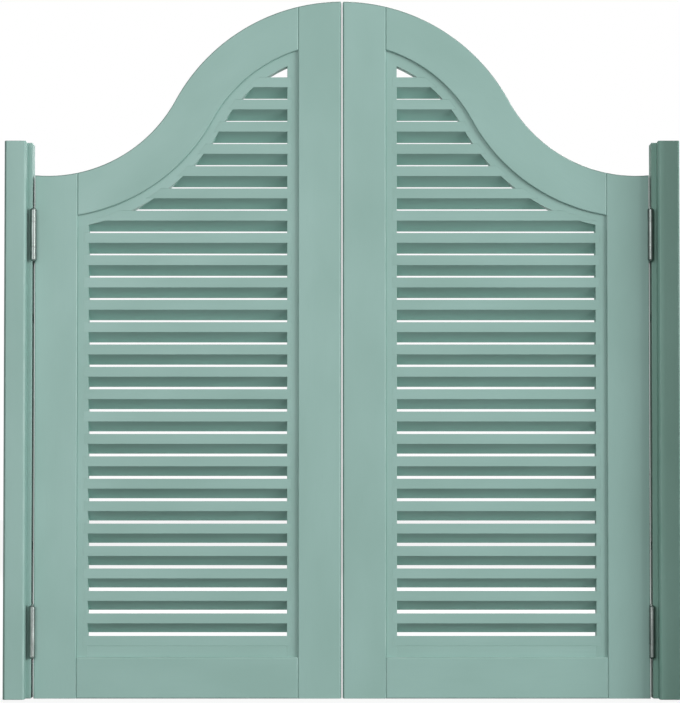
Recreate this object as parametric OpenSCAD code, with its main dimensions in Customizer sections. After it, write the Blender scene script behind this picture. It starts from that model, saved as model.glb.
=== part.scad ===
// A pair of louvred swing leaves with curved tops, hung between two posts
// Front is towards -Y, the leaves' mid-plane is Y = 0 and the feet of the posts are at Z = 0

/* [Leaf] */

// Width of one leaf
leaf_width = 444.2; // [420:0.2:480]
// Height of the pair at its centre line
crown_height = 1010; // [990:1:1040]
// Height of a leaf at the lowest point of its top
shoulder_height = 756; // [740:1:775]
// Thickness of stiles and rails
leaf_thickness = 33; // [31:1:38]
// Width of the upright stiles
stile_width = 61.5; // [58:0.5:66]
// Width of the curved top rail
top_rail_width = 61; // [57:0.5:65]
// Height of the straight bottom rail
bottom_rail_height = 59.5; // [56:0.5:66]
// Radius of the hollow beside the hinge
hollow_radius = 210; // [195:1:225]
// Distance of the hollow's lowest point from the hinge edge
hollow_inset = 18.5; // [10:0.5:30]
// Bevel on the long edges of stiles and rails
edge_bevel = 1.2; // [0.6:0.1:1.8]
// Gap between the two leaves
meeting_gap = 1.6; // [1.6:0.2:6]
// Bulge of the rounded meeting edges, which lets the leaves swing past each other
meeting_round = 1.2; // [1.1:0.1:1.8]

/* [Louvre] */

// Width of the liner strips round the slats
liner_width = 16; // [15.5:0.5:20]
// Setback of the liner from the leaf's faces
liner_recess = 4.5; // [3:0.5:6]
// Height of a slat's front edge
slat_front = 14.5; // [12:0.5:15.5]
// Distance from slat to slat
slat_pitch = 32.4; // [30:0.1:38]
// Fall of a slat from front to back
slat_drop = 14; // [11:0.5:14]
// Depth by which slat ends are let into the liner
slat_seat = 6; // [4:0.5:8]

/* [Joinery] */

// Diameter of the dowels in the corner joints
dowel_diameter = 8; // [6:0.5:9]
// Length of a dowel
dowel_length = 50; // [40:1:56]
// Distance between the two dowels of a joint
dowel_spacing = 25; // [20:1:28]

/* [Post] */

// Height of the posts
post_height = 804; // [780:1:830]
// Width of a post, tongue included
post_width = 38; // [34:1:46]
// Depth of a post from front to back
post_depth = 85; // [78:1:100]
// Projection of the tongue beside the leaf
tongue_length = 7; // [6:0.5:10]
// Bevel on the long edges of a post
post_bevel = 2.5; // [1:0.5:3]
// Diameter of the wall-screw holes
wall_hole_diameter = 7; // [5:0.5:8]
// Height of the lower wall-screw hole
wall_hole_height = 220; // [180:1:240]
// Distance between the two wall-screw holes
wall_hole_spacing = 330; // [300:1:360]

/* [Hinge] */

// Height of the lower hinge's middle
lower_hinge_height = 96; // [85:1:110]
// Height of the upper hinge's middle
upper_hinge_height = 670; // [650:1:690]
// Gap between leaf and post
hinge_gap = 3.6; // [3.2:0.1:4.4]
// Thickness of the hinge plates
plate_thickness = 1.6; // [1.2:0.1:1.8]
// Reach of a flange past the leaf's face
flange_reach = 28.5; // [26:0.5:30]
// Diameter of the barrels
barrel_diameter = 9; // [8:0.5:10]
// Length of the barrels
barrel_length = 72; // [64:1:80]
// Diameter of the hinge pins
pin_diameter = 4; // [3:0.5:5]
// Length of the wood screws
screw_length = 25; // [18:1:30]

/* [Hidden] */

$fn = 96;
// Play of a turning pin, of a fitted piece and between moving hinge pieces
pin_play = 0.05;
fit_play = 0.1;
hinge_play = 0.4;
// Overlap that carries a cut clear of a face
over = 1;

half_thickness = leaf_thickness / 2;
panel_start = stile_width;
panel_end = leaf_width - meeting_round - stile_width;
liner_depth = leaf_thickness - 2 * liner_recess;
half_liner = liner_depth / 2;

// The S-shaped top: a crown arc on the pair's centre line, tangent to a hollow arc by the hinge
rise = crown_height - shoulder_height;
arc_span = leaf_width + meeting_gap / 2 - hollow_inset;
radius_sum = (rise * rise + arc_span * arc_span) / (2 * rise);
crown_radius = radius_sum - hollow_radius;
crown_centre = [leaf_width + meeting_gap / 2, crown_height - crown_radius];
hollow_centre = [hollow_inset, shoulder_height + hollow_radius];
// Angle at which the tangent line falls from the hollow's centre to the crown's
tangent_fall = atan2(hollow_centre.y - crown_centre.y, arc_span);

slat_outset = top_rail_width + liner_width;

// Height of the top curve, moved inwards by an inset, under the crown and under the hollow
function crown_line(u, inset) =
    crown_centre.y + sqrt(pow(crown_radius - inset, 2) - pow(crown_centre.x - u, 2));
function hollow_line(u, inset) =
    hollow_centre.y - sqrt(pow(hollow_radius + inset, 2) - pow(u - hollow_centre.x, 2));

// Slats start on the bottom liner and end where the curved liner leaves no room for another
slat_slope = slat_drop / liner_depth;
first_slat = bottom_rail_height + liner_width + fit_play;
highest_end = crown_line(panel_end - liner_width, slat_outset);
slat_count = floor((highest_end - slat_front - first_slat) / slat_pitch) + 1;
lowest_end = hollow_line(panel_start + liner_width, slat_outset);
full_count = floor((lowest_end - slat_front - first_slat) / slat_pitch) + 1;

// Dowels lie in the straight run that both pieces of a corner joint share
dowel_radius = dowel_diameter / 2;
half_dowel = dowel_length / 2;
hollow_joint = (hollow_line(panel_start + half_dowel, top_rail_width) + hollow_line(panel_start, 0)) / 2;
crown_joint = (crown_line(panel_end, top_rail_width) + crown_line(panel_end - half_dowel, 0)) / 2;
hinge_side_joints = [bottom_rail_height / 2, hollow_joint];
meeting_side_joints = [bottom_rail_height / 2, crown_joint];

// Posts and hinges, measured from the pair's centre line
leaf_edge = leaf_width + meeting_gap / 2;
hinge_line = leaf_edge + hinge_gap / 2;
tongue_face = leaf_edge + hinge_gap;
tongue_root = tongue_face + tongue_length;
post_back = tongue_face + post_width;
hinge_heights = [lower_hinge_height, upper_hinge_height];

barrel_radius = barrel_diameter / 2;
barrel_clearance = 0.8;
barrel_offset = half_thickness + barrel_clearance + barrel_radius;
half_barrel = barrel_length / 2;
// The web's knuckle fills the middle half of a barrel and the flange's knuckles fill the ends
half_knuckle = barrel_length / 4;
plate_back = hinge_gap / 2 + plate_thickness;
flange_end = flange_reach - half_thickness;
pin_radius = pin_diameter / 2;
cap_height = 2.5;
cap_play = 0.2;

screw_radius = 1.75;
screw_head_radius = screw_radius + plate_thickness;
screw_slot = 0.9;
screw_spacing = barrel_length * 0.36;
screw_stagger = 5;
// Screw places on a flange as [along the leaf's thickness, height], the middle one set back
screw_places = [
    [-screw_stagger, -screw_spacing],
    [screw_stagger, 0],
    [-screw_stagger, screw_spacing]
];

left = -1;
right = 1;
paint = [0.59, 0.71, 0.68];
bare_wood = [0.78, 0.63, 0.43];
steel = [0.75, 0.77, 0.78];

// Placing

// A leaf is drawn from its hinge edge at X = 0 towards its meeting edge, then set on its side
module on_leaf(side) {
    mirror([side == right ? 1 : 0, 0, 0])
        translate([-leaf_edge, 0, 0])
            children();
}

// A hinge is drawn with the post at -X and the leaf at +X, and the right one is turned half round
module at_hinge(side, height) {
    translate([side * hinge_line, 0, height])
        rotate([0, 0, side == right ? 180 : 0])
            children();
}

// The leaf's flange is the post's flange turned half round within the hinge
module as_leaf_flange() {
    rotate([0, 0, 180])
        children();
}

// A shape drawn as [across, up] is stretched along the leaf's thickness
module through_leaf(depth) {
    rotate([90, 0, 0])
        linear_extrude(height = depth, center = true)
            children();
}

// A shape drawn as [thickness, up] is stretched along the leaf's width
module along_leaf(start, end) {
    translate([start, 0, 0])
        rotate([90, 0, 90])
            linear_extrude(height = end - start)
                children();
}

// A profile drawn as [radius, thickness] is swept round an arc centre, angles from +X towards +Z
module round_arc(centre, from, to) {
    translate([centre.x, 0, centre.y])
        rotate([90, 0, 0])
            rotate([0, 0, from])
                rotate_extrude(angle = to - from)
                    children();
}

// Leaf woodwork

// A rectangle from [x0, y0] to [x1, y1] with its four corners bevelled
module bevelled_rectangle(x0, y0, x1, y1, bevel) {
    polygon([
        [x0 + bevel, y0],
        [x1 - bevel, y0],
        [x1, y0 + bevel],
        [x1, y1 - bevel],
        [x1 - bevel, y1],
        [x0 + bevel, y1],
        [x0, y1 - bevel],
        [x0, y0 + bevel]
    ]);
}

// The point of the tangent line over a given place across the leaf
function tangent_line_over(u) = [u, crown_centre.y + (crown_centre.x - u) * tan(tangent_fall)];

// The leaf's outline from start to end as [across, up], with its curved top moved inwards by an inset;
// the part under the hollow ends on the tangent line and the part under the crown reaches well below it
module outline_under_curve(start, end, inset) {
    turn = crown_centre + (crown_radius - inset) * [-cos(tangent_fall), sin(tangent_fall)];
    difference() {
        polygon([
            [start, 0],
            [end, 0],
            tangent_line_over(end),
            hollow_centre,
            [start, hollow_centre.y]
        ]);
        translate(hollow_centre)
            circle(r = hollow_radius + inset);
    }
    intersection() {
        translate(crown_centre)
            circle(r = crown_radius - inset);
        polygon([
            turn,
            [end, 0],
            [end, crown_height],
            [turn.x, crown_height]
        ]);
    }
}

// The disc that cuts the hollow, with flared rims that bevel the cut's edges
module hollow_cutter() {
    flare = edge_bevel + over;
    round_arc(hollow_centre, 180, 360)
        polygon([
            [0, -half_thickness - over],
            [hollow_radius + flare, -half_thickness - over],
            [hollow_radius, -half_thickness + edge_bevel],
            [hollow_radius, half_thickness - edge_bevel],
            [hollow_radius + flare, half_thickness + over],
            [0, half_thickness + over]
        ]);
}

// The ring that cuts the crown, with lips that bevel the cut's edges
module crown_cutter() {
    flare = edge_bevel + over;
    outside = crown_radius + rise;
    round_arc(crown_centre, 0, 180)
        polygon([
            [crown_radius - flare, -half_thickness - over],
            [outside, -half_thickness - over],
            [outside, half_thickness + over],
            [crown_radius - flare, half_thickness + over],
            [crown_radius, half_thickness - edge_bevel],
            [crown_radius, -half_thickness + edge_bevel]
        ]);
}

// Bores for the dowels of the joints at a stile's inner edge
module dowel_bores(edge, joints) {
    for (joint = joints, row = [-0.5, 0.5])
        translate([edge, 0, joint + row * dowel_spacing])
            rotate([0, 90, 0])
                cylinder(r = dowel_radius + pin_play, h = dowel_length + 2 * fit_play, center = true);
}

module hinge_stile(side) {
    color(paint)
        difference() {
            on_leaf(side)
                difference() {
                    linear_extrude(height = hollow_line(stile_width, 0) + over)
                        bevelled_rectangle(0, -half_thickness, stile_width, half_thickness, edge_bevel);
                    hollow_cutter();
                    dowel_bores(panel_start, hinge_side_joints);
                }
            for (height = hinge_heights)
                at_hinge(side, height)
                    as_leaf_flange()
                        flange_mortise();
        }
}

// A meeting stile's section: a bevelled rectangle with a shallow arc along the meeting edge
module meeting_section() {
    flat = half_thickness - edge_bevel;
    foot = leaf_width - meeting_round;
    nose_radius = (flat * flat + meeting_round * meeting_round) / (2 * meeting_round);
    bevelled_rectangle(panel_end, -half_thickness, foot, half_thickness, edge_bevel);
    intersection() {
        translate([leaf_width - nose_radius, 0])
            circle(r = nose_radius);
        translate([foot - edge_bevel, -flat])
            square([edge_bevel + meeting_round + over, 2 * flat]);
    }
}

module meeting_stile(side) {
    color(paint)
        on_leaf(side)
            difference() {
                linear_extrude(height = crown_height + over)
                    meeting_section();
                crown_cutter();
                dowel_bores(panel_end, meeting_side_joints);
            }
}

// The room between the stiles, bevelled where a rail's ends meet them
module between_stiles() {
    linear_extrude(height = crown_height)
        bevelled_rectangle(panel_start, -half_thickness, panel_end, half_thickness, edge_bevel);
}

// A strip of the leaf that follows its curved top, between two insets
module curved_strip(inset, width) {
    difference() {
        outline_under_curve(panel_start, panel_end, inset);
        outline_under_curve(panel_start - over, panel_end + over, inset + width);
    }
}

// Trims both rims of an arc-shaped edge; out is 1 where wood lies inside the arc, -1 where outside
module rim_bevels(centre, radius, out, from, to) {
    for (face = [-1, 1])
        round_arc(centre, from, to)
            polygon([
                [radius - out * (edge_bevel + over), face * (half_thickness + over)],
                [radius + out * over, face * (half_thickness + over)],
                [radius + out * over, face * (half_thickness - edge_bevel - over)]
            ]);
}

module top_rail(side) {
    color(paint)
        on_leaf(side)
            difference() {
                intersection() {
                    through_leaf(leaf_thickness)
                        curved_strip(0, top_rail_width);
                    between_stiles();
                }
                rim_bevels(crown_centre, crown_radius, 1, 90, 180 - tangent_fall);
                rim_bevels(crown_centre, crown_radius - top_rail_width, -1, 90, 180 - tangent_fall);
                rim_bevels(hollow_centre, hollow_radius, -1, 270, 360 - tangent_fall);
                rim_bevels(hollow_centre, hollow_radius + top_rail_width, 1, 270, 360 - tangent_fall);
                dowel_bores(panel_start, [hollow_joint]);
                dowel_bores(panel_end, [crown_joint]);
            }
}

module bottom_rail_section() {
    bevelled_rectangle(-half_thickness, 0, half_thickness, bottom_rail_height, edge_bevel);
}

module bottom_rail(side) {
    color(paint)
        on_leaf(side)
            difference() {
                intersection() {
                    along_leaf(panel_start, panel_end)
                        bottom_rail_section();
                    between_stiles();
                }
                dowel_bores(panel_start, [bottom_rail_height / 2]);
                dowel_bores(panel_end, [bottom_rail_height / 2]);
            }
}

module dowels(side) {
    color(bare_wood)
        on_leaf(side) {
            for (joint = hinge_side_joints, row = [-0.5, 0.5])
                dowel(panel_start, joint + row * dowel_spacing);
            for (joint = meeting_side_joints, row = [-0.5, 0.5])
                dowel(panel_end, joint + row * dowel_spacing);
        }
}

module dowel(edge, height) {
    translate([edge, 0, height])
        rotate([0, 90, 0])
            cylinder(r = dowel_radius, h = dowel_length, center = true);
}

// Louvre panel

// A slat's section as [thickness, up], higher at the front; grow and reach enlarge it for its slot
module slat_section(grow, reach) {
    front = -half_liner - reach;
    back = half_liner + reach;
    lift = reach * slat_slope;
    polygon([
        [front, lift - grow],
        [front, slat_front + lift + grow],
        [back, slat_front - slat_drop - lift + grow],
        [back, -slat_drop - lift - grow]
    ]);
}

// The outline that slat ends reach to inside the liner strips
module seat_outline(grow) {
    outline_under_curve(
        panel_start + liner_width - slat_seat - grow,
        panel_end - liner_width + slat_seat + grow,
        slat_outset - slat_seat - grow
    );
}

module slat_run(first, last, grow, reach) {
    for (index = [first:last])
        translate([0, 0, first_slat + index * slat_pitch])
            along_leaf(panel_start, panel_end)
                slat_section(grow, reach);
}

module seated_slats(first, last, grow, reach) {
    intersection() {
        slat_run(first, last, grow, reach);
        through_leaf(leaf_thickness)
            seat_outline(grow);
    }
}

module slat_slots() {
    seated_slats(0, slat_count - 1, fit_play, over);
}

module full_slats(side) {
    color(paint)
        on_leaf(side)
            seated_slats(0, full_count - 1, 0, 0);
}

module shaped_slats(side) {
    color(paint)
        on_leaf(side)
            seated_slats(full_count, slat_count - 1, 0, 0);
}

// A side liner stands on the bottom rail and ends under the curved liner
module side_liner(side, start) {
    color(paint)
        on_leaf(side)
            difference() {
                through_leaf(liner_depth)
                    intersection() {
                        outline_under_curve(panel_start, panel_end, slat_outset);
                        translate([start, bottom_rail_height])
                            square([liner_width, crown_height - bottom_rail_height]);
                    }
                slat_slots();
            }
}

// The bottom liner is a sill between the side liners, sloped like the slat that lies on it
module bottom_liner(side) {
    front_top = bottom_rail_height + liner_width;
    color(paint)
        on_leaf(side)
            along_leaf(panel_start + liner_width, panel_end - liner_width)
                polygon([
                    [-half_liner, bottom_rail_height],
                    [half_liner, bottom_rail_height],
                    [half_liner, front_top - slat_drop],
                    [-half_liner, front_top]
                ]);
}

module top_liner(side) {
    color(paint)
        on_leaf(side)
            difference() {
                through_leaf(liner_depth)
                    curved_strip(top_rail_width, liner_width);
                slat_slots();
            }
}

// Posts

// A post's section as [away from the centre line, depth], with a tongue that lines up with the leaf
module post_section() {
    half_depth = post_depth / 2;
    polygon([
        [post_back - post_bevel, -half_depth],
        [tongue_root + post_bevel, -half_depth],
        [tongue_root, -half_depth + post_bevel],
        [tongue_root, -half_thickness],
        [tongue_face, -half_thickness],
        [tongue_face, half_thickness],
        [tongue_root, half_thickness],
        [tongue_root, half_depth - post_bevel],
        [tongue_root + post_bevel, half_depth],
        [post_back - post_bevel, half_depth],
        [post_back, half_depth - post_bevel],
        [post_back, -half_depth + post_bevel]
    ]);
}

// A through hole with a flat-bottomed sink for the screw's head on the tongue's face
module wall_hole(height) {
    sink_depth = 10;
    translate([tongue_face - over, 0, height])
        rotate([0, 90, 0]) {
            cylinder(d = wall_hole_diameter, h = post_width + 2 * over);
            cylinder(d = 2 * wall_hole_diameter, h = sink_depth + over);
        }
}

module post(side) {
    color(paint)
        difference() {
            mirror([side == left ? 1 : 0, 0, 0])
                difference() {
                    linear_extrude(height = post_height)
                        post_section();
                    wall_hole(wall_hole_height);
                    wall_hole(wall_hole_height + wall_hole_spacing);
                }
            for (height = hinge_heights)
                at_hinge(side, height)
                    flange_mortise();
        }
}

// Hinge pieces, drawn with the turning line of the flange's barrel at the front

module knuckle(from, to) {
    translate([0, -barrel_offset, from])
        cylinder(r = barrel_radius, h = to - from);
}

module pin_bore() {
    translate([0, -barrel_offset, -half_barrel - over])
        cylinder(r = pin_radius + pin_play, h = barrel_length + 2 * over);
}

// A flange plate with end knuckles, cut back round the web's knuckle
module flange() {
    reach = barrel_radius + hinge_play;
    gap = half_knuckle + hinge_play / 2;
    color(steel)
        difference() {
            union() {
                translate([-plate_back, -barrel_offset, -half_barrel])
                    cube([plate_thickness, barrel_offset + flange_end, barrel_length]);
                knuckle(-half_barrel, -gap);
                knuckle(gap, half_barrel);
            }
            translate([-plate_back - over, -barrel_offset - over, -gap])
                cube([plate_thickness + 2 * over, reach + over, 2 * gap]);
            pin_bore();
            screw_holes();
        }
}

module screw_holes() {
    head = screw_head_radius + pin_play;
    shank = screw_radius + pin_play;
    for (place = screw_places)
        translate([-hinge_gap / 2, place.x, place.y])
            rotate([0, -90, 0]) {
                translate([0, 0, -over])
                    cylinder(r = head, h = over);
                cylinder(r1 = head, r2 = shank, h = plate_thickness);
                cylinder(r = shank, h = plate_thickness + over);
            }
}

// The shallow bed and pilot bores that a flange needs in the wood
module flange_mortise() {
    bed_width = half_thickness + over + flange_end + fit_play;
    bed_length = barrel_length + 2 * fit_play;
    translate([-plate_back, -half_thickness - over, -bed_length / 2])
        cube([plate_thickness + over, bed_width, bed_length]);
    for (place = screw_places)
        translate([-plate_back + over, place.x, place.y])
            rotate([0, -90, 0])
                cylinder(r = screw_radius + pin_play, h = screw_length + over);
}

// A countersunk screw with a cross slot, its head flush with the flange
module wood_screw() {
    slot_length = 1.3 * screw_head_radius;
    rotate([0, -90, 0])
        difference() {
            union() {
                cylinder(r1 = screw_head_radius, r2 = screw_radius, h = plate_thickness);
                cylinder(r = screw_radius, h = screw_length);
            }
            for (turn = [0, 90])
                rotate([0, 0, turn])
                    cube([slot_length, screw_slot, 2 * screw_slot], center = true);
        }
}

module flange_screws() {
    color(steel)
        for (place = screw_places)
            translate([-hinge_gap / 2, place.x, place.y])
                wood_screw();
}

// A pin with a domed cap at each end of the barrel
module pin() {
    shaft = half_barrel + cap_play;
    color(steel)
        translate([0, -barrel_offset, 0])
            rotate_extrude()
                difference() {
                    union() {
                        translate([0, -shaft])
                            square([pin_radius, 2 * shaft]);
                        for (end = [-1, 1])
                            translate([0, end * shaft])
                                intersection() {
                                    translate([0, end * (cap_height - cap_radius())])
                                        circle(r = cap_radius());
                                    translate([0, end > 0 ? 0 : -cap_height])
                                        square([barrel_radius, cap_height]);
                                }
                    }
                    translate([-barrel_radius, -shaft - cap_height])
                        square([barrel_radius, 2 * (shaft + cap_height)]);
                }
}

// Radius of the dome that is one barrel wide at its foot
function cap_radius() = (barrel_radius * barrel_radius + cap_height * cap_height) / (2 * cap_height);

// The plate between the two barrels, with one knuckle in the middle of each
module hinge_web() {
    reach = barrel_radius + hinge_play;
    half_width = barrel_offset - reach;
    knuckle_end = half_knuckle - hinge_play / 2;
    color(steel)
        difference() {
            union() {
                translate([-plate_thickness / 2, -half_width, -half_barrel])
                    cube([plate_thickness, 2 * half_width, barrel_length]);
                translate([-plate_thickness / 2, -barrel_offset, -knuckle_end])
                    cube([plate_thickness, 2 * barrel_offset, 2 * knuckle_end]);
                knuckle(-knuckle_end, knuckle_end);
                as_leaf_flange()
                    knuckle(-knuckle_end, knuckle_end);
            }
            pin_bore();
            as_leaf_flange()
                pin_bore();
        }
}

module jamb_flange(side, height) {
    at_hinge(side, height)
        flange();
}

module leaf_flange(side, height) {
    at_hinge(side, height)
        as_leaf_flange()
            flange();
}

module jamb_pin(side, height) {
    at_hinge(side, height)
        pin();
}

module leaf_pin(side, height) {
    at_hinge(side, height)
        as_leaf_flange()
            pin();
}

module web(side, height) {
    at_hinge(side, height)
        hinge_web();
}

module jamb_screws(side) {
    for (height = hinge_heights)
        at_hinge(side, height)
            flange_screws();
}

module leaf_screws(side) {
    for (height = hinge_heights)
        at_hinge(side, height)
            as_leaf_flange()
                flange_screws();
}

post(left);  // left_post
post(right);  // right_post
jamb_flange(left, upper_hinge_height);  // left_upper_jamb_flange
jamb_flange(left, lower_hinge_height);  // left_lower_jamb_flange
jamb_flange(right, upper_hinge_height);  // right_upper_jamb_flange
jamb_flange(right, lower_hinge_height);  // right_lower_jamb_flange
jamb_screws(left);  // left_jamb_screws
jamb_screws(right);  // right_jamb_screws
jamb_pin(left, upper_hinge_height);  // left_upper_jamb_pin
jamb_pin(left, lower_hinge_height);  // left_lower_jamb_pin
jamb_pin(right, upper_hinge_height);  // right_upper_jamb_pin
jamb_pin(right, lower_hinge_height);  // right_lower_jamb_pin
web(left, upper_hinge_height);  // left_upper_hinge_web
web(left, lower_hinge_height);  // left_lower_hinge_web
web(right, upper_hinge_height);  // right_upper_hinge_web
web(right, lower_hinge_height);  // right_lower_hinge_web
hinge_stile(left);  // left_hinge_stile
meeting_stile(left);  // left_meeting_stile
top_rail(left);  // left_top_rail
bottom_rail(left);  // left_bottom_rail
side_liner(left, panel_start);  // left_hinge_side_liner
side_liner(left, panel_end - liner_width);  // left_meeting_side_liner
bottom_liner(left);  // left_bottom_liner
top_liner(left);  // left_top_liner
full_slats(left);  // left_full_slats
shaped_slats(left);  // left_shaped_slats
dowels(left);  // left_dowels
leaf_flange(left, upper_hinge_height);  // left_upper_leaf_flange
leaf_flange(left, lower_hinge_height);  // left_lower_leaf_flange
leaf_screws(left);  // left_leaf_screws
leaf_pin(left, upper_hinge_height);  // left_upper_leaf_pin
leaf_pin(left, lower_hinge_height);  // left_lower_leaf_pin
hinge_stile(right);  // right_hinge_stile
meeting_stile(right);  // right_meeting_stile
top_rail(right);  // right_top_rail
bottom_rail(right);  // right_bottom_rail
side_liner(right, panel_start);  // right_hinge_side_liner
side_liner(right, panel_end - liner_width);  // right_meeting_side_liner
bottom_liner(right);  // right_bottom_liner
top_liner(right);  // right_top_liner
full_slats(right);  // right_full_slats
shaped_slats(right);  // right_shaped_slats
dowels(right);  // right_dowels
leaf_flange(right, upper_hinge_height);  // right_upper_leaf_flange
leaf_flange(right, lower_hinge_height);  // right_lower_leaf_flange
leaf_screws(right);  // right_leaf_screws
leaf_pin(right, upper_hinge_height);  // right_upper_leaf_pin
leaf_pin(right, lower_hinge_height);  // right_lower_leaf_pin
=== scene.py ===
"""Dresses the louvred swing door: painted woodwork, satin steel hinges and a plain pale studio."""

import logging
import math
import random
from dataclasses import dataclass
from enum import Enum
from functools import lru_cache
from typing import Any

import bmesh
import bpy
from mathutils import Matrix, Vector


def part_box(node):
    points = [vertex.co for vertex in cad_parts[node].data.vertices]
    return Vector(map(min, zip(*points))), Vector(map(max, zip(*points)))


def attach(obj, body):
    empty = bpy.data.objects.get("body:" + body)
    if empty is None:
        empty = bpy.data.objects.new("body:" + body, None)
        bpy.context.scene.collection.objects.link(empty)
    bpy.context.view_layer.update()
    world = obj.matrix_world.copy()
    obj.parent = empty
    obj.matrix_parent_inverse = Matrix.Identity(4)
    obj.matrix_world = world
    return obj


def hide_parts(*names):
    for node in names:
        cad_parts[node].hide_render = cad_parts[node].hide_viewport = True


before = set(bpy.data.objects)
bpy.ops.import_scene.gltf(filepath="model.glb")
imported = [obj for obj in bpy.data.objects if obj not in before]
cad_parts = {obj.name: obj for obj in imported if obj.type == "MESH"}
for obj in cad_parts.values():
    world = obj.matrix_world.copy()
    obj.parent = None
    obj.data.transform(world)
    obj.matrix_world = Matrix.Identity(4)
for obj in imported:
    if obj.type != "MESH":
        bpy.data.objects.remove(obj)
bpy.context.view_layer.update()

log = logging.getLogger("swing_door")

PICTURE_WIDTH = 680
PICTURE_HEIGHT = 703
MILLIMETRE = 0.001


class Side(Enum):
    """The two sides of the doorway, seen from the front."""

    LEFT = "left"
    RIGHT = "right"


class Level(Enum):
    """The two hinge heights of a leaf."""

    UPPER = "upper"
    LOWER = "lower"


class Edges(Enum):
    """Which sharp edges of a piece are rounded."""

    ALL = "every outward edge"
    ALONG = "outward edges along the grain"
    NONE = "no edge"


class Slot(Enum):
    """The material slots that the pieces are sorted into."""

    PAINT = "painted_wood"
    WOOD = "bare_wood"
    STEEL = "steel"


class Tone(Enum):
    """Whether a piece takes the plain paint or a darker copy of it that paints shade onto the piece."""

    BLEACHED = "bleached"
    SHELTERED = "sheltered"


# Shader helpers


@dataclass(frozen=True)
class Colour:
    """A colour as a screen shows it, each channel from 0 to 255."""

    red: int
    green: int
    blue: int

    def linear(self) -> tuple[float, float, float, float]:
        """Returns the colour in linear light with full alpha, as shader sockets take it."""
        channels = [value / 255 for value in (self.red, self.green, self.blue)]
        light = [c / 12.92 if c <= 0.04045 else ((c + 0.055) / 1.055) ** 2.4 for c in channels]
        return (*light, 1.0)


@dataclass(frozen=True)
class Patches:
    """A pattern of soft noise: patches per metre, finer layers, and the noise that gives 0 and 1."""

    along: float
    across: float
    layers: float
    span: tuple[float, float] = (0.0, 1.0)


class Graph:
    """Adds nodes to one shader tree and joins their sockets."""

    def __init__(self, tree: bpy.types.NodeTree) -> None:
        """Starts work on a tree.

        Args:
            tree: the node tree of a material, a world or a group.
        """
        self.tree = tree

    def add(self, kind: str, inputs: dict[Any, Any] | None = None, **settings: Any) -> bpy.types.Node:
        """Adds one node.

        Args:
            kind: the node's type name.
            inputs: sockets by name or number, each with a value or with the socket that feeds it.
            **settings: the node's own properties.

        Returns:
            The new node.
        """
        node = self.tree.nodes.new(kind)
        for name, value in settings.items():
            setattr(node, name, value)
        for key, value in (inputs or {}).items():
            self.feed(node.inputs[key], value)
        return node

    def feed(self, socket: bpy.types.NodeSocket, value: Any) -> None:
        """Sets a socket, or joins it to the socket that feeds it.

        Args:
            socket: the input socket.
            value: a plain value or an output socket.
        """
        if isinstance(value, bpy.types.NodeSocket):
            self.tree.links.new(value, socket)
        else:
            socket.default_value = value

    def math(self, operation: str, first: Any, second: Any = 0.0) -> bpy.types.NodeSocket:
        """Joins two values by one sum.

        Args:
            operation: the name of the sum, such as MULTIPLY.
            first: a number or a socket.
            second: a number or a socket.

        Returns:
            The result's socket.
        """
        return self.add("ShaderNodeMath", {0: first, 1: second}, operation=operation).outputs[0]

    def remap(self, value: Any, low: float, high: float, start: float, end: float) -> bpy.types.NodeSocket:
        """Maps the span from low to high onto the span from start to end, and clamps it.

        Args:
            value: the value to map.
            low: the value that gives start.
            high: the value that gives end.
            start: the first result.
            end: the last result.

        Returns:
            The result's socket.
        """
        spans = {"Value": value, "From Min": low, "From Max": high, "To Min": start, "To Max": end}
        return self.add("ShaderNodeMapRange", spans).outputs["Result"]

    def mix(self, share: Any, first: Any, second: Any) -> bpy.types.NodeSocket:
        """Mixes two colours.

        Args:
            share: how much of the second colour shows, from 0 to 1.
            first: a colour or a socket.
            second: a colour or a socket.

        Returns:
            The mixed colour's socket.
        """
        return self.add("ShaderNodeMix", {0: share, 6: first, 7: second}, data_type="RGBA").outputs[2]

    def stretch(self, place: Any, scale: tuple[float, float, float]) -> bpy.types.NodeSocket:
        """Scales a place along the grain, across it and through it.

        Args:
            place: the place's socket.
            scale: one factor for each direction, per metre.

        Returns:
            The scaled place's socket.
        """
        return self.add("ShaderNodeMapping", {"Vector": place, "Scale": scale}).outputs["Vector"]

    def noise(self, place: Any, pattern: Patches) -> bpy.types.NodeSocket:
        """Gives the plain noise of a pattern.

        Args:
            place: the place's socket.
            pattern: the pattern.

        Returns:
            The noise value's socket, from 0 to 1.
        """
        scale = (pattern.along, pattern.across, pattern.across)
        inputs = {"Vector": self.stretch(place, scale), "Scale": 1.0, "Detail": pattern.layers}
        return self.add("ShaderNodeTexNoise", inputs).outputs[0]

    def patches(self, place: Any, pattern: Patches, least: float = 0.0) -> bpy.types.NodeSocket:
        """Gives the noise of a pattern, drawn out over its span.

        Args:
            place: the place's socket.
            pattern: the pattern.
            least: the lowest result.

        Returns:
            The mask's socket, from least to 1.
        """
        return self.remap(self.noise(place, pattern), *pattern.span, least, 1.0)


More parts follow.
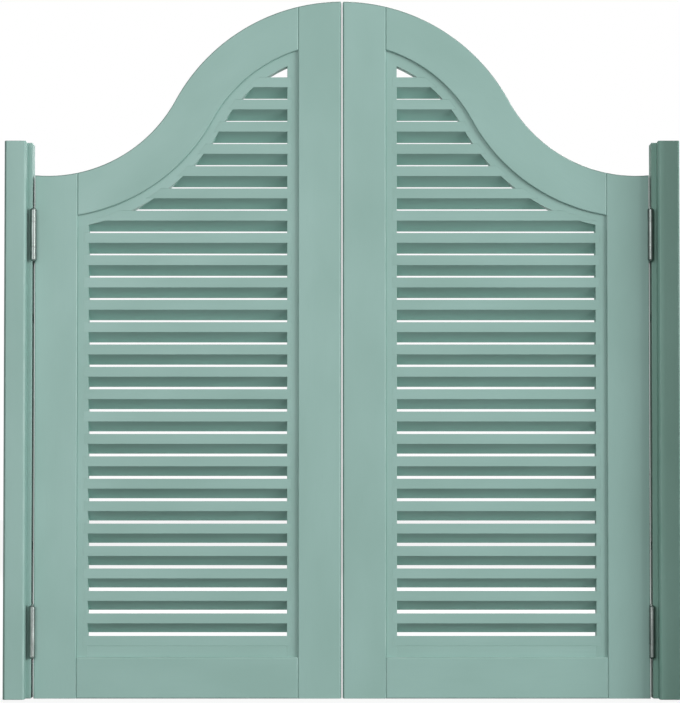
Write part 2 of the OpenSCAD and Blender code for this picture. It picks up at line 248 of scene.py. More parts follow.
class EffectGroup:
    """A shader node group that is built once and placed in several materials."""

    def __init__(self, name: str, inputs: dict[str, str], outputs: dict[str, str]) -> None:
        """Starts an empty group.

        Args:
            name: the group's name.
            inputs: the kind of each input socket by name.
            outputs: the kind of each output socket by name.
        """
        self.tree = bpy.data.node_groups.new(name, "ShaderNodeTree")
        for label, kind in inputs.items():
            self.tree.interface.new_socket(name=label, in_out="INPUT", socket_type=kind)
        for label, kind in outputs.items():
            self.tree.interface.new_socket(name=label, in_out="OUTPUT", socket_type=kind)
        self.graph = Graph(self.tree)
        self.inputs = self.graph.add("NodeGroupInput").outputs
        self.results = self.graph.add("NodeGroupOutput").inputs

    def place(self, graph: Graph, inputs: dict[str, Any]) -> bpy.types.NodeOutputs:
        """Places the group in a material.

        Args:
            graph: the material's graph.
            inputs: values or sockets for the group's inputs.

        Returns:
            The placed group's outputs.
        """
        node = graph.add("ShaderNodeGroup", node_tree=self.tree)
        for label, value in inputs.items():
            graph.feed(node.inputs[label], value)
        return node.outputs


FLOAT = "NodeSocketFloat"
VECTOR = "NodeSocketVector"
RINGS = Patches(2.2, 130.0, 3.0, (0.35, 0.65))
PORES = Patches(26.0, 1500.0, 2.0, (0.56, 0.7))
RELIEF_SHARE = 0.5
DRIFT = Patches(5.0, 11.0, 3.0)
SPECKLE = Patches(620.0, 620.0, 2.0)
WEAR = Patches(34.0, 90.0, 4.0, (0.42, 0.66))
DUST = Patches(60.0, 60.0, 4.0, (0.3, 0.7))
LEAST_DUST = 0.4
LYING_SPAN = (0.35, 0.95)
BRUSH = Patches(60.0, 5200.0, 3.0)


@lru_cache(maxsize=None)
def grain_effect() -> EffectGroup:
    """Makes the group for wood grain.

    Returns:
        The group, which gives broad rings, fine pores and the relief of both.
    """
    group = EffectGroup("wood_grain", {"Place": VECTOR}, {"Rings": FLOAT, "Pores": FLOAT, "Relief": FLOAT})
    graph = group.graph
    place = group.inputs["Place"]
    rings = graph.patches(place, RINGS)
    pores = graph.patches(place, PORES)
    raised = graph.math("MULTIPLY", rings, RELIEF_SHARE)
    relief = graph.math("SUBTRACT", raised, graph.math("MULTIPLY", pores, RELIEF_SHARE))
    graph.feed(group.results["Rings"], rings)
    graph.feed(group.results["Pores"], pores)
    graph.feed(group.results["Relief"], relief)
    return group


@lru_cache(maxsize=None)
def drift_effect() -> EffectGroup:
    """Makes the group for slow drift of colour and sheen.

    Returns:
        The group, which gives the drift and a fine speckle for close views.
    """
    group = EffectGroup("surface_drift", {"Place": VECTOR}, {"Drift": FLOAT, "Speckle": FLOAT})
    graph = group.graph
    place = group.inputs["Place"]
    graph.feed(group.results["Drift"], graph.noise(place, DRIFT))
    graph.feed(group.results["Speckle"], graph.noise(place, SPECKLE))
    return group


@lru_cache(maxsize=None)
def wear_effect() -> EffectGroup:
    """Makes the group for wear on rounded edges.

    Returns:
        The group, which gives wear that is broken up along the edge.
    """
    group = EffectGroup("edge_wear", {"Place": VECTOR, "Arris": FLOAT}, {"Worn": FLOAT})
    graph = group.graph
    patches = graph.patches(group.inputs["Place"], WEAR)
    graph.feed(group.results["Worn"], graph.math("MULTIPLY", patches, group.inputs["Arris"]))
    return group


@lru_cache(maxsize=None)
def dust_effect() -> EffectGroup:
    """Makes the group for a breath of dust.

    Returns:
        The group, which gives dust on faces that look up.
    """
    group = EffectGroup("settled_dust", {"Place": VECTOR, "Facing": VECTOR}, {"Dust": FLOAT})
    graph = group.graph
    upward = graph.add("ShaderNodeSeparateXYZ", {0: group.inputs["Facing"]}).outputs["Z"]
    patches = graph.patches(group.inputs["Place"], DUST, LEAST_DUST)
    lying = graph.remap(upward, *LYING_SPAN, 0.0, 1.0)
    graph.feed(group.results["Dust"], graph.math("MULTIPLY", lying, patches))
    return group


# Finishes


@dataclass(frozen=True)
class Surface:
    """The sockets that every finish starts from."""

    graph: Graph
    shader: bpy.types.Node
    place: bpy.types.NodeSocket
    arris: bpy.types.NodeSocket
    handled: bpy.types.NodeSocket
    facing: bpy.types.NodeSocket

    @classmethod
    def start(cls, material: bpy.types.Material) -> "Surface":
        """Sets up a material's tree.

        Args:
            material: a new material.

        Returns:
            The surface, ready to be coloured.
        """
        material.use_nodes = True
        material.node_tree.nodes.clear()
        graph = Graph(material.node_tree)
        shader = graph.add("ShaderNodeBsdfPrincipled")
        graph.add("ShaderNodeOutputMaterial", {"Surface": shader.outputs[0]})
        place = graph.add("ShaderNodeAttribute", attribute_name=Workpiece.PLACE).outputs["Vector"]
        arris = graph.add("ShaderNodeAttribute", attribute_name=Workpiece.ARRIS).outputs["Fac"]
        handled = graph.add("ShaderNodeAttribute", attribute_name=Workpiece.TOP_EDGE_SHADE).outputs["Fac"]
        facing = graph.add("ShaderNodeNewGeometry").outputs["Normal"]
        return cls(graph, shader, place, arris, handled, facing)

    def bump(self, height: Any, strength: float, depth: float) -> None:
        """Gives the surface its relief.

        Args:
            height: the relief's socket.
            strength: how strongly it shows, from 0 to 1.
            depth: the depth of the relief in metres.
        """
        inputs = {"Height": height, "Strength": strength, "Distance": depth}
        bump = self.graph.add("ShaderNodeBump", inputs)
        self.graph.feed(self.shader.inputs["Normal"], bump.outputs["Normal"])


@dataclass(frozen=True)
class PaintedWood:
    """Satin paint on planed wood, with the grain just showing through as relief."""

    name: str = "painted_wood_finish"
    colour: Colour = Colour(151, 187, 179)
    deep: Colour = Colour(143, 179, 170)
    # Lighter tone on arrises: edge wear, and also a painted highlight along the edges.
    wear_and_highlight: Colour = Colour(168, 197, 190)
    dust: Colour = Colour(186, 196, 190)
    # Darker tone for a painted shade line along top edges.
    shade_line: Colour = Colour(104, 126, 119)
    drift_span: tuple[float, float] = (0.3, 0.7)
    pore_share: float = 0.35
    wear_share: float = 0.5
    dust_share: float = 0.12
    shade_line_share: float = 0.7
    sheen_span: tuple[float, float] = (0.25, 0.75)
    roughness: tuple[float, float] = (0.39, 0.5)
    dust_roughness: float = 0.1
    speckle_share: float = 0.35
    relief_strength: float = 0.35
    relief_depth: float = 0.12 * MILLIMETRE

    def material(self) -> bpy.types.Material:
        """Makes the finish.

        Returns:
            The finish as a material.
        """
        material = bpy.data.materials.new(self.name)
        surface = Surface.start(material)
        graph = surface.graph
        grain = grain_effect().place(graph, {"Place": surface.place})
        drift = drift_effect().place(graph, {"Place": surface.place})
        worn = wear_effect().place(graph, {"Place": surface.place, "Arris": surface.arris})["Worn"]
        dust = dust_effect().place(graph, {"Place": surface.place, "Facing": surface.facing})["Dust"]
        drifted = graph.remap(drift["Drift"], *self.drift_span, 0.0, 1.0)
        body = graph.mix(drifted, self.colour.linear(), self.deep.linear())
        for mask, share, colour in [
            (grain["Pores"], self.pore_share, self.deep),
            # Edge wear, and also a painted highlight along the edges.
            (worn, self.wear_share, self.wear_and_highlight),
            (dust, self.dust_share, self.dust),
            # Painted shade line along top edges.
            (surface.handled, self.shade_line_share, self.shade_line),
        ]:
            body = graph.mix(graph.math("MULTIPLY", mask, share), body, colour.linear())
        graph.feed(surface.shader.inputs["Base Color"], body)
        rough = graph.remap(drift["Drift"], *self.sheen_span, *self.roughness)
        rough = graph.math("ADD", rough, graph.math("MULTIPLY", dust, self.dust_roughness))
        graph.feed(surface.shader.inputs["Roughness"], rough)
        speckle = graph.math("MULTIPLY", drift["Speckle"], self.speckle_share)
        relief = graph.math("ADD", grain["Relief"], speckle)
        surface.bump(relief, self.relief_strength, self.relief_depth)
        return material


@dataclass(frozen=True)
class BareWood:
    """Turned beech, unpainted, as the dowels are."""

    name: str = "bare_wood_finish"
    pale: Colour = Colour(212, 182, 140)
    dark: Colour = Colour(176, 138, 94)
    pore_share: float = 0.5
    sheen_span: tuple[float, float] = (0.2, 0.8)
    roughness: tuple[float, float] = (0.55, 0.75)
    relief_strength: float = 0.4
    relief_depth: float = 0.15 * MILLIMETRE

    def material(self) -> bpy.types.Material:
        """Makes the finish.

        Returns:
            The finish as a material.
        """
        material = bpy.data.materials.new(self.name)
        surface = Surface.start(material)
        graph = surface.graph
        grain = grain_effect().place(graph, {"Place": surface.place})
        drift = drift_effect().place(graph, {"Place": surface.place})
        body = graph.mix(grain["Rings"], self.pale.linear(), self.dark.linear())
        body = graph.mix(graph.math("MULTIPLY", grain["Pores"], self.pore_share), body, self.dark.linear())
        graph.feed(surface.shader.inputs["Base Color"], body)
        rough = graph.remap(drift["Drift"], *self.sheen_span, *self.roughness)
        graph.feed(surface.shader.inputs["Roughness"], rough)
        surface.bump(grain["Relief"], self.relief_strength, self.relief_depth)
        return material


@dataclass(frozen=True)
class SatinSteel:
    """Plated steel with a satin brush along its length."""

    name: str = "satin_steel_finish"
    colour: Colour = Colour(138, 146, 143)
    dull: Colour = Colour(120, 128, 125)
    bright: Colour = Colour(166, 173, 170)
    drift_span: tuple[float, float] = (0.3, 0.7)
    drift_share: float = 0.6
    brush_span: tuple[float, float] = (0.35, 0.75)
    brush_share: float = 0.4
    wear_share: float = 0.6
    sheen_span: tuple[float, float] = (0.25, 0.75)
    roughness: tuple[float, float] = (0.28, 0.46)
    dust_roughness: float = 0.12
    relief_strength: float = 0.25
    relief_depth: float = 0.03 * MILLIMETRE

    def material(self) -> bpy.types.Material:
        """Makes the finish.

        Returns:
            The finish as a material.
        """
        material = bpy.data.materials.new(self.name)
        surface = Surface.start(material)
        graph = surface.graph
        drift = drift_effect().place(graph, {"Place": surface.place})
        worn = wear_effect().place(graph, {"Place": surface.place, "Arris": surface.arris})["Worn"]
        dust = dust_effect().place(graph, {"Place": surface.place, "Facing": surface.facing})["Dust"]
        brush = graph.noise(surface.place, BRUSH)
        drifted = graph.remap(drift["Drift"], *self.drift_span, 0.0, self.drift_share)
        body = graph.mix(drifted, self.colour.linear(), self.dull.linear())
        brushed = graph.remap(brush, *self.brush_span, 0.0, self.brush_share)
        body = graph.mix(brushed, body, self.dull.linear())
        body = graph.mix(graph.math("MULTIPLY", worn, self.wear_share), body, self.bright.linear())
        graph.feed(surface.shader.inputs["Base Color"], body)
        surface.shader.inputs["Metallic"].default_value = 1.0
        rough = graph.remap(brush, *self.sheen_span, *self.roughness)
        rough = graph.math("ADD", rough, graph.math("MULTIPLY", dust, self.dust_roughness))
        graph.feed(surface.shader.inputs["Roughness"], rough)
        surface.bump(brush, self.relief_strength, self.relief_depth)
        return material


@dataclass(frozen=True)
class Finishes:
    """The materials that all pieces share."""

    paint: bpy.types.Material
    # The darker copy of the paint, which paints shade onto a piece.
    shaded_paint: bpy.types.Material
    wood: bpy.types.Material
    steel: bpy.types.Material

    @classmethod
    def make(cls) -> "Finishes":
        """Makes every finish once.

        Returns:
            The finishes.
        """
        # A darker copy of the paint, which paints shade onto the right post.
        sheltered = PaintedWood(
            name="sheltered_paint_finish",
            colour=Colour(131, 172, 159),
            deep=Colour(123, 164, 150),
            wear_and_highlight=Colour(146, 177, 168),
        )
        return cls(
            PaintedWood().material(), sheltered.material(), BareWood().material(), SatinSteel().material()
        )

    def of(self, slot: Slot, tone: Tone) -> bpy.types.Material:
        """Gives the material for a slot.

        Args:
            slot: the material slot.
            tone: whether the piece takes the plain paint or the darker copy with painted shade.

        Returns:
            The material.
        """
        paint = self.shaded_paint if tone is Tone.SHELTERED else self.paint
        return {Slot.PAINT: paint, Slot.WOOD: self.wood, Slot.STEEL: self.steel}[slot]


# Pieces


@dataclass
class Workpiece:
    """One named piece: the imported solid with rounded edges, a grain direction and a finish."""

    PLACE = "grain_place"
    ARRIS = "arris"
    TOP_EDGE_SHADE = "handled"
    ROUNDED = "rounded"
    UPWARD = 0.35
    WELD = 0.02 * MILLIMETRE
    FLAT_ANGLE = math.radians(0.3)
    SHARP_ANGLE = math.radians(25)
    CREASE_ANGLE = math.radians(50)
    ALIGNED = 0.99
    ROUND_PROFILE = 0.5
    GRAIN_SHIFT = 9.0

    node: str
    body: str
    slot: Slot
    along: Vector
    edges: Edges = Edges.ALL
    round_width: float = 0.5 * MILLIMETRE
    round_steps: int = 3
    shortest_edge: float = 1.1 * MILLIMETRE
    chamfer_width: float = 2.2 * MILLIMETRE
    seat: float = 0.0
    # Whether narrow faces on top edges take a painted shade line.
    handled: bool = False
    tone: Tone = Tone.BLEACHED

    def dress(self, finishes: Finishes) -> bpy.types.Object:
        """Builds the piece, gives it its finish and lets it ride on its body.

        Args:
            finishes: the materials to choose from.

        Returns:
            The finished object.
        """
        mesh = self.make_mesh()
        mesh.materials.append(finishes.of(self.slot, self.tone))
        piece = bpy.data.objects.new(f"{self.node}_finished", mesh)
        bpy.context.scene.collection.objects.link(piece)
        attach(piece, self.body)
        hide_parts(self.node)
        log.info("%s rides on %s", piece.name, self.body)
        return piece

    def make_mesh(self) -> bpy.types.Mesh:
        """Makes the piece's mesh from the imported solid.

        Returns:
            The mesh, with its flats joined, its edges rounded and its grain marked.
        """
        work = bmesh.new()
        work.from_mesh(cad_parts[self.node].data)
        bmesh.ops.remove_doubles(work, verts=work.verts[:], dist=self.WELD)
        bmesh.ops.dissolve_degenerate(work, dist=self.WELD, edges=work.edges[:])
        fins = [face for face in work.faces if any(edge.is_boundary for edge in face.edges)]
        bmesh.ops.delete(work, geom=fins, context="FACES")
        bmesh.ops.dissolve_limit(
            work, angle_limit=self.FLAT_ANGLE, verts=work.verts[:], edges=work.edges[:]
        )
        bmesh.ops.recalc_face_normals(work, faces=work.faces[:])
        self.round_edges(work)
        self.mark_grain(work)
        self.shade(work)
        mesh = bpy.data.meshes.new(f"{self.node}_finished")
        work.to_mesh(mesh)
        work.free()
        return mesh

    def shade(self, work: bmesh.types.BMesh) -> None:
        """Shades curved faces smoothly, and keeps flats, seats and the borders of roundings crisp.

        Args:
            work: the mesh being worked on.
        """
        rounded = work.faces.layers.int[self.ROUNDED]
        spans = self.showing_spans(work)
        for face in work.faces:
            start, end = spans[face.verts[0]]
            face.smooth = start < face.calc_center_bounds().dot(self.along) < end
        for edge in work.edges:
            kinds = [face[rounded] for face in edge.link_faces]
            limit = self.CREASE_ANGLE if all(kinds) else self.SHARP_ANGLE
            edge.smooth = len(kinds) == 2 and kinds[0] == kinds[1] and edge.calc_face_angle() < limit
        work.faces.layers.int.remove(rounded)

    def round_edges(self, work: bmesh.types.BMesh) -> None:
        """Rounds the chosen edges and marks the new faces as arrises.

        Args:
            work: the mesh being worked on.
        """
        work.faces.layers.float.new(self.ARRIS)
        work.faces.layers.float.new(self.TOP_EDGE_SHADE)
        work.faces.layers.int.new(self.ROUNDED)
        arris = work.faces.layers.float[self.ARRIS]
        shade_line = work.faces.layers.float[self.TOP_EDGE_SHADE]
        rounded = work.faces.layers.int[self.ROUNDED]
        if self.seat:
            self.part_seats(work)
        spans = self.showing_spans(work)
        made = bmesh.ops.bevel(
            work,
            geom=[edge for edge in work.edges if self.takes(edge, *spans[edge.verts[0]])],
            offset=self.round_width,
            offset_type="OFFSET",
            segments=self.round_steps,
            profile=self.ROUND_PROFILE,
            affect="EDGES",
            clamp_overlap=True,
        )
        work.normal_update()
        for face in made["faces"]:
            face[rounded] = 1
        for face in work.faces:
            longest = max(edge.calc_length() for edge in face.edges)
            # Rounded faces and narrow chamfers count as arrises; on painted pieces their lighter tone is
            # edge wear and also a painted highlight.
            if face[rounded] or face.calc_area() < self.chamfer_width * longest:
                face[arris] = 1.0
                # Narrow faces on top edges of some pieces also take a painted shade line.
                face[shade_line] = float(self.handled and self.on_top_edge(face))

    def on_top_edge(self, face: bmesh.types.BMFace) -> bool:
        """Says whether a narrow face lies on a top edge, which takes a painted shade line.

        Args:
            face: a narrow face of the mesh being worked on.

        Returns:
            True for a face that looks up and also to the front or the back.
        """
        return face.normal.z > self.UPWARD and abs(face.normal.y) > self.UPWARD

    @staticmethod
    def boards(work: bmesh.types.BMesh) -> list[list[bmesh.types.BMVert]]:
        """Sorts the points of a mesh into its separate boards.

        Args:
            work: the mesh being worked on.

        Returns:
            The points of each board.
        """
        found = []
        seen = set()
        for first in work.verts:
            if first in seen:
                continue
            seen.add(first)
            board = [first]
            for point in board:
                for edge in point.link_edges:
                    other = edge.other_vert(point)
                    if other not in seen:
                        seen.add(other)
                        board.append(other)
            found.append(board)
        return found

    def span(self, board: list[bmesh.types.BMVert]) -> tuple[float, float]:
        """Measures the length of a board that shows between its seats.

        Args:
            board: the points of the board.

        Returns:
            Where the showing length starts and ends, along the grain.
        """
        places = [point.co.dot(self.along) for point in board]
        return min(places) + self.seat - self.WELD, max(places) - self.seat + self.WELD

    def showing_spans(self, work: bmesh.types.BMesh) -> dict[bmesh.types.BMVert, tuple[float, float]]:
        """Finds the length that shows of the board that each point belongs to.

        Args:
            work: the mesh being worked on.

        Returns:
            The start and the end of the showing length, by point.
        """
        return {point: span for board in self.boards(work) for span in [self.span(board)] for point in board}

    def part_seats(self, work: bmesh.types.BMesh) -> None:
        """Divides each board where its ends go into their seats, so that the ends stay square.

        Args:
            work: the mesh being worked on.
        """
        for board in self.boards(work):
            members = set(board)
            start, end = self.span(board)
            for place in (start + self.WELD, end - self.WELD):
                points = [point for point in work.verts if point in members]
                edges = [edge for edge in work.edges if edge.verts[0] in members]
                faces = [face for face in work.faces if face.verts[0] in members]
                cut = bmesh.ops.bisect_plane(
                    work,
                    geom=points + edges + faces,
                    dist=self.WELD,
                    plane_co=self.along * place,
                    plane_no=self.along,
                )
                members.update(part for part in cut["geom_cut"] if isinstance(part, bmesh.types.BMVert))

    def takes(self, edge: bmesh.types.BMEdge, start: float, end: float) -> bool:
        """Says whether an edge is one to round.

        Args:
            edge: an edge of the mesh being worked on.
            start: where the board starts to show, along the grain.
            end: where the board ends to show.

        Returns:
            True for a sharp outward edge of the kind that the piece asks for.
        """
        if self.edges is Edges.NONE or len(edge.link_faces) != 2:
            return False
        middle = (edge.verts[0].co + edge.verts[1].co).dot(self.along) / 2
        if not start <= middle <= end:
            return False
        near = {other for point in edge.verts for other in point.link_edges}
        if min(other.calc_length() for other in near) < self.shortest_edge:
            return False
        if edge.calc_face_angle_signed() < self.SHARP_ANGLE:
            return False
        if self.edges is Edges.ALL:
            return True
        run = (edge.verts[1].co - edge.verts[0].co).normalized()
        return abs(run.dot(self.along)) > self.ALIGNED

    def mark_grain(self, work: bmesh.types.BMesh) -> None:
        """Stores each point's place in its own board, measured along the grain, across and through.

        Args:
            work: the mesh being worked on.
        """
        place = work.verts.layers.float_vector.new(self.PLACE)
        through = Vector((0.0, 1.0, 0.0))
        across = through.cross(self.along)
        chance = random.Random(self.node)
        for board in self.boards(work):
            shift = Vector(chance.uniform(0.0, self.GRAIN_SHIFT) for _ in range(3))
            for point in board:
                point[place] = shift + Vector(point.co.dot(way) for way in (self.along, across, through))


UPRIGHT = Vector((0.0, 0.0, 1.0))
SIDEWAYS = Vector((1.0, 0.0, 0.0))


@dataclass
class Post:
    """A side post with its hinge flanges, pins and screws, fixed to the wall."""

    side: Side
    post_round: float = 0.9 * MILLIMETRE
    post_chamfer: float = 4.0 * MILLIMETRE
    body: str = "frame"

    def build(self, finishes: Finishes) -> None:
        """Builds and dresses the post.

        Args:
            finishes: the materials to choose from.
        """
        name = self.side.value
        Workpiece(
            f"{name}_post",
            self.body,
            Slot.PAINT,
            UPRIGHT,
            round_width=self.post_round,
            chamfer_width=self.post_chamfer,
            # Its top edges take a painted shade line.
            handled=True,
            # The right post takes the darker copy of the paint: painted shade.
            tone=Tone.SHELTERED if self.side is Side.RIGHT else Tone.BLEACHED,
        ).dress(finishes)
        Hardware(self.side, "jamb", self.body).build(finishes)


@dataclass
class Hardware:
    """The steel pieces that one body carries at both of a leaf's hinges."""

    side: Side
    place: str
    body: str

    def build(self, finishes: Finishes) -> None:
        """Builds and dresses flanges, pins and screws.

        Args:
            finishes: the materials to choose from.
        """
        names = [f"{self.side.value}_{self.place}_screws"]
        for level in Level:
            names.append(f"{self.side.value}_{level.value}_{self.place}_flange")
            names.append(f"{self.side.value}_{level.value}_{self.place}_pin")
        for name in names:
            Workpiece(name, self.body, Slot.STEEL, UPRIGHT, edges=Edges.NONE).dress(finishes)


@dataclass
class HingeWebs:
    """The plates between the two barrels of a leaf's hinges."""

    side: Side

    def build(self, finishes: Finishes) -> None:
        """Builds and dresses both webs of one side.

        Args:
            finishes: the materials to choose from.
        """
        body = f"{self.side.value}_hinge_webs"
        for level in Level:
            name = f"{self.side.value}_{level.value}_hinge_web"
            Workpiece(name, body, Slot.STEEL, UPRIGHT, edges=Edges.NONE).dress(finishes)


@dataclass
class Leaf:
    """One swinging leaf: stiles, rails, the louvre panel and its hinge hardware."""

    side: Side
    frame_round: float = 0.55 * MILLIMETRE
    slat_round: float = 0.35 * MILLIMETRE
    slat_steps: int = 3
    liner_round: float = 0.4 * MILLIMETRE
    slat_seat: float = 6.0 * MILLIMETRE
    rail_rise: float = 0.66

    def build(self, finishes: Finishes) -> None:
        """Builds and dresses every piece of the leaf.

        Args:
            finishes: the materials to choose from.
        """
        self.build_frame(finishes)
        self.build_louvre(finishes)
        self.piece("dowels", SIDEWAYS, Slot.WOOD, edges=Edges.NONE).dress(finishes)
        Hardware(self.side, "leaf", self.body()).build(finishes)

    def body(self) -> str:
        """Returns the name of the body that the leaf rides on."""
        return f"{self.side.value}_leaf"

    def rising(self) -> Vector:
        """Returns the grain of the curved pieces, which climbs to the meeting edge."""
        lean = self.rail_rise if self.side is Side.LEFT else -self.rail_rise
        return Vector((1.0, 0.0, lean)).normalized()

    def piece(self, name: str, along: Vector, slot: Slot = Slot.PAINT, **work: Any) -> Workpiece:
        """Plans one piece of the leaf.

        Args:
            name: the piece's name within the leaf.
            along: the direction of its grain.
            slot: its material slot.
            **work: how its edges and its finish are worked.

        Returns:
            The piece, not dressed yet.
        """
        return Workpiece(f"{self.side.value}_{name}", self.body(), slot, along, **work)

    def build_frame(self, finishes: Finishes) -> None:
        """Builds and dresses stiles and rails.

        Args:
            finishes: the materials to choose from.
        """
        grains = {"hinge_stile": UPRIGHT, "meeting_stile": UPRIGHT, "top_rail": self.rising()}
        # Stiles and top rail take a painted shade line along their top edges.
        for name, along in grains.items():
            self.piece(name, along, round_width=self.frame_round, handled=True).dress(finishes)
        self.piece("bottom_rail", SIDEWAYS, round_width=self.frame_round).dress(finishes)

    def build_louvre(self, finishes: Finishes) -> None:
        """Builds and dresses the liner strips and the slats.

        Args:
            finishes: the materials to choose from.
        """
        grains = {"hinge_side_liner": UPRIGHT, "meeting_side_liner": UPRIGHT, "bottom_liner": SIDEWAYS}
        for name, along in grains.items():
            self.piece(name, along, edges=Edges.ALONG, round_width=self.liner_round).dress(finishes)
        self.piece("top_liner", self.rising(), edges=Edges.NONE).dress(finishes)
        for name in ("full_slats", "shaped_slats"):
            self.piece(
                name,
                SIDEWAYS,
                edges=Edges.ALONG,
                round_width=self.slat_round,
                round_steps=self.slat_steps,
                seat=self.slat_seat,
            ).dress(finishes)


# Studio


@dataclass
class Lamp:
    """A large soft panel of light."""

    name: str
    place: Vector
    width: float
    height: float
    power: float

    def build(self, target: Vector) -> None:
        """Hangs the panel and turns it to the object.

        Args:
            target: the point that the panel faces.
        """
        light = bpy.data.lights.new(self.name, "AREA")
        light.shape = "RECTANGLE"
        light.size = self.width
        light.size_y = self.height
        light.energy = self.power
        lamp = bpy.data.objects.new(self.name, light)
        lamp.location = self.place
        lamp.rotation_euler = (target - self.place).to_track_quat("-Z", "Y").to_euler()
        lamp.visible_camera = False
        bpy.context.scene.collection.objects.link(lamp)


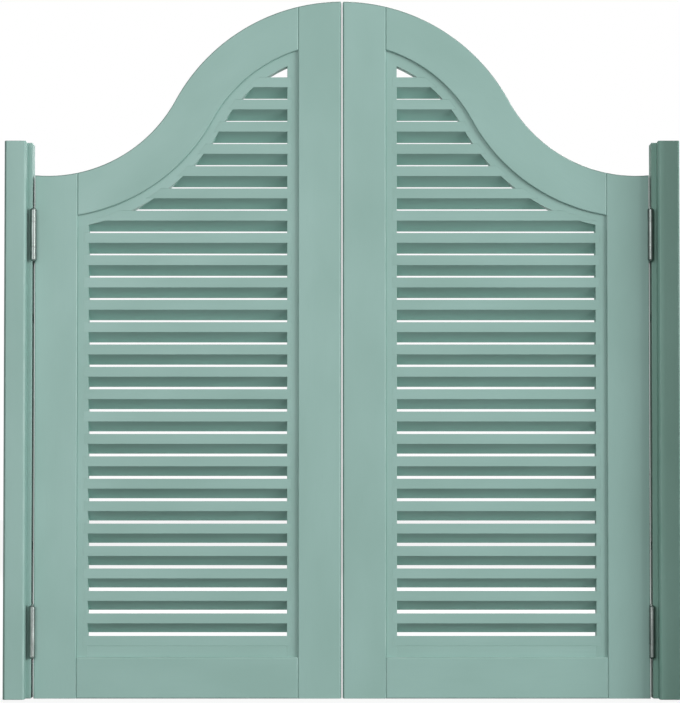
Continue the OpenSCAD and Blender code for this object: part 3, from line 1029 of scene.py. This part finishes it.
@dataclass
class Studio:
    """Pale floor, white surroundings, soft light and a camera in front of the pair."""

    floor_size: float = 60.0
    floor_drop: float = 0.5 * MILLIMETRE
    floor_bounce: float = 0.06
    floor_mirrored: float = 0.6
    floor_pale: float = 0.9
    floor_glow: float = 0.88
    flag_gap: float = 2.0 * MILLIMETRE
    left_flag_reach: float = 8.0 * MILLIMETRE
    right_flag_reach: float = 26.0 * MILLIMETRE
    flag_rise: float = 0.12
    card_distance: float = 2.4
    card_depth: float = 3.4
    card_height: float = 3.0
    cloth: float = 0.05
    sky: float = 0.38
    aim_height: float = 0.5
    pixel: float = 1.4455 * MILLIMETRE
    camera_distance: float = 4.2
    camera_height: float = 0.293
    camera_tilt: float = 2.0
    leaf_face: float = -16.5 * MILLIMETRE
    axis_row: float = 393.7
    centre_column: float = 342.0
    sensor: float = 36.0

    def build(self) -> None:
        """Sets up floor, surroundings, lamps and camera."""
        scene = bpy.context.scene
        scene.view_settings.view_transform = "Standard"
        self.lay_floor()
        self.light_surroundings()
        for lamp in (
            Lamp("key_panel", place=Vector((6.8, -4.2, 1.4)), width=4.5, height=3.2, power=505.0),
            Lamp("fill_panel", place=Vector((-2.0, -6.0, 1.8)), width=4.0, height=3.0, power=145.0),
            Lamp("back_panel", place=Vector((1.0, 5.0, 3.4)), width=4.0, height=3.0, power=360.0),
        ):
            lamp.build(Vector((0.0, 0.0, self.aim_height)))
        cloth = self.dark_cloth()
        self.hang_flag(Side.LEFT, self.left_flag_reach, cloth)
        self.hang_flag(Side.RIGHT, self.right_flag_reach, cloth)
        for side in Side:
            self.stand_card(side, cloth)
        self.set_camera(scene)

    def lay_floor(self) -> None:
        """Lays a pale floor that shows white to the camera and keeps a soft shadow."""
        half = self.floor_size / 2
        mesh = bpy.data.meshes.new("floor")
        corners = [(-half, -half), (half, -half), (half, half), (-half, half)]
        mesh.from_pydata([(x, y, -self.floor_drop) for x, y in corners], [], [(0, 1, 2, 3)])
        floor = bpy.data.objects.new("floor", mesh)
        bpy.context.scene.collection.objects.link(floor)
        material = bpy.data.materials.new("pale_floor")
        material.use_nodes = True
        material.node_tree.nodes.clear()
        graph = Graph(material.node_tree)
        seen = self.camera_rays(graph)
        mirrored = graph.add("ShaderNodeLightPath").outputs["Is Glossy Ray"]
        pale = graph.remap(mirrored, 0.0, 1.0, self.floor_bounce, self.floor_mirrored)
        pale = graph.math("MAXIMUM", pale, graph.math("MULTIPLY", seen, self.floor_pale))
        matt = graph.add("ShaderNodeBsdfDiffuse", {"Color": pale})
        glow = graph.add("ShaderNodeEmission", {"Color": (1.0, 1.0, 1.0, 1.0), "Strength": 1.0})
        share = graph.math("MULTIPLY", seen, self.floor_glow)
        mixed = graph.add("ShaderNodeMixShader", {0: share, 1: matt.outputs[0], 2: glow.outputs[0]})
        graph.add("ShaderNodeOutputMaterial", {"Surface": mixed.outputs[0]})
        mesh.materials.append(material)

    def dark_cloth(self) -> bpy.types.Material:
        """Makes the cloth on the dark boards.

        Returns:
            The cloth as a material.
        """
        material = bpy.data.materials.new("dark_cloth")
        material.use_nodes = True
        shader = material.node_tree.nodes["Principled BSDF"]
        shader.inputs["Base Color"].default_value = (self.cloth, self.cloth, self.cloth, 1.0)
        return material

    def hang_flag(self, side: Side, reach: float, cloth: bpy.types.Material) -> None:
        """Hangs a narrow dark board in front of a post, which keeps the side light off its face.

        Args:
            side: the post's side.
            reach: how far the board comes forward of the post.
            cloth: the board's material.
        """
        corner, far_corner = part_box(f"{side.value}_post")
        back = corner[1] - self.flag_gap
        top = far_corner[2] + self.flag_rise
        place = corner[0] - self.flag_gap if side is Side.LEFT else far_corner[0] + self.flag_gap
        board = self.dark_board(f"{side.value}_flag", place, (back - reach, back), top)
        board.data.materials.append(cloth)

    def stand_card(self, side: Side, cloth: bpy.types.Material) -> None:
        """Stands a dark card far out at one side, which only shows as a reflection.

        Args:
            side: the side it stands at.
            cloth: the card's material.
        """
        place = -self.card_distance if side is Side.LEFT else self.card_distance
        half = self.card_depth / 2
        card = self.dark_board(f"{side.value}_card", place, (-half, half), self.card_height)
        card.data.materials.append(cloth)
        card.visible_diffuse = False
        card.visible_shadow = False

    @staticmethod
    def dark_board(name: str, place: float, depths: tuple[float, float], top: float) -> bpy.types.Object:
        """Makes an upright board that runs from front to back and that the camera doesn't see.

        Args:
            name: the board's name.
            place: where it stands from left to right.
            depths: where it begins and ends from front to back.
            top: its top.

        Returns:
            The board.
        """
        front, back = depths
        corners = [(front, 0.0), (back, 0.0), (back, top), (front, top)]
        mesh = bpy.data.meshes.new("dark_board")
        mesh.from_pydata([(place, depth, height) for depth, height in corners], [], [(0, 1, 2, 3)])
        board = bpy.data.objects.new(name, mesh)
        bpy.context.scene.collection.objects.link(board)
        board.visible_camera = False
        return board

    @staticmethod
    def camera_rays(graph: Graph) -> bpy.types.NodeSocket:
        """Gives 1 for rays that the camera sends out and 0 for all others.

        Args:
            graph: the graph to add to.

        Returns:
            The value's socket.
        """
        return graph.add("ShaderNodeLightPath").outputs["Is Camera Ray"]

    def light_surroundings(self) -> None:
        """Gives even light from all round, seen as plain white."""
        world = bpy.data.worlds.new("white_room")
        bpy.context.scene.world = world
        world.use_nodes = True
        world.node_tree.nodes.clear()
        graph = Graph(world.node_tree)
        strength = graph.remap(self.camera_rays(graph), 0.0, 1.0, self.sky, 1.0)
        back = graph.add("ShaderNodeBackground", {"Color": (1.0, 1.0, 1.0, 1.0), "Strength": strength})
        graph.add("ShaderNodeOutputWorld", {"Surface": back.outputs[0]})

    def set_camera(self, scene: bpy.types.Scene) -> None:
        """Stands the camera low in front of the pair, tilted up a little, with the pictures' frame.

        Args:
            scene: the scene to film.
        """
        data = bpy.data.cameras.new("front_camera")
        view_height = PICTURE_HEIGHT * self.pixel
        data.sensor_fit = "VERTICAL"
        data.sensor_height = self.sensor
        data.lens = self.sensor * self.camera_distance / view_height
        data.shift_y = (self.axis_row - PICTURE_HEIGHT / 2) / PICTURE_HEIGHT
        camera = bpy.data.objects.new("front_camera", data)
        aside = (PICTURE_WIDTH / 2 - self.centre_column) * self.pixel
        camera.location = (aside, self.leaf_face - self.camera_distance, self.camera_height)
        camera.rotation_euler = (math.radians(90 + self.camera_tilt), 0.0, 0.0)
        scene.collection.objects.link(camera)
        scene.camera = camera


def main() -> None:
    """Builds the pieces in order, then the studio."""
    logging.basicConfig(level=logging.INFO, format="%(name)s: %(message)s")
    finishes = Finishes.make()
    for side in Side:
        Post(side).build(finishes)
        HingeWebs(side).build(finishes)
        Leaf(side).build(finishes)
    Studio().build()


if __name__ == "__main__":
    main()
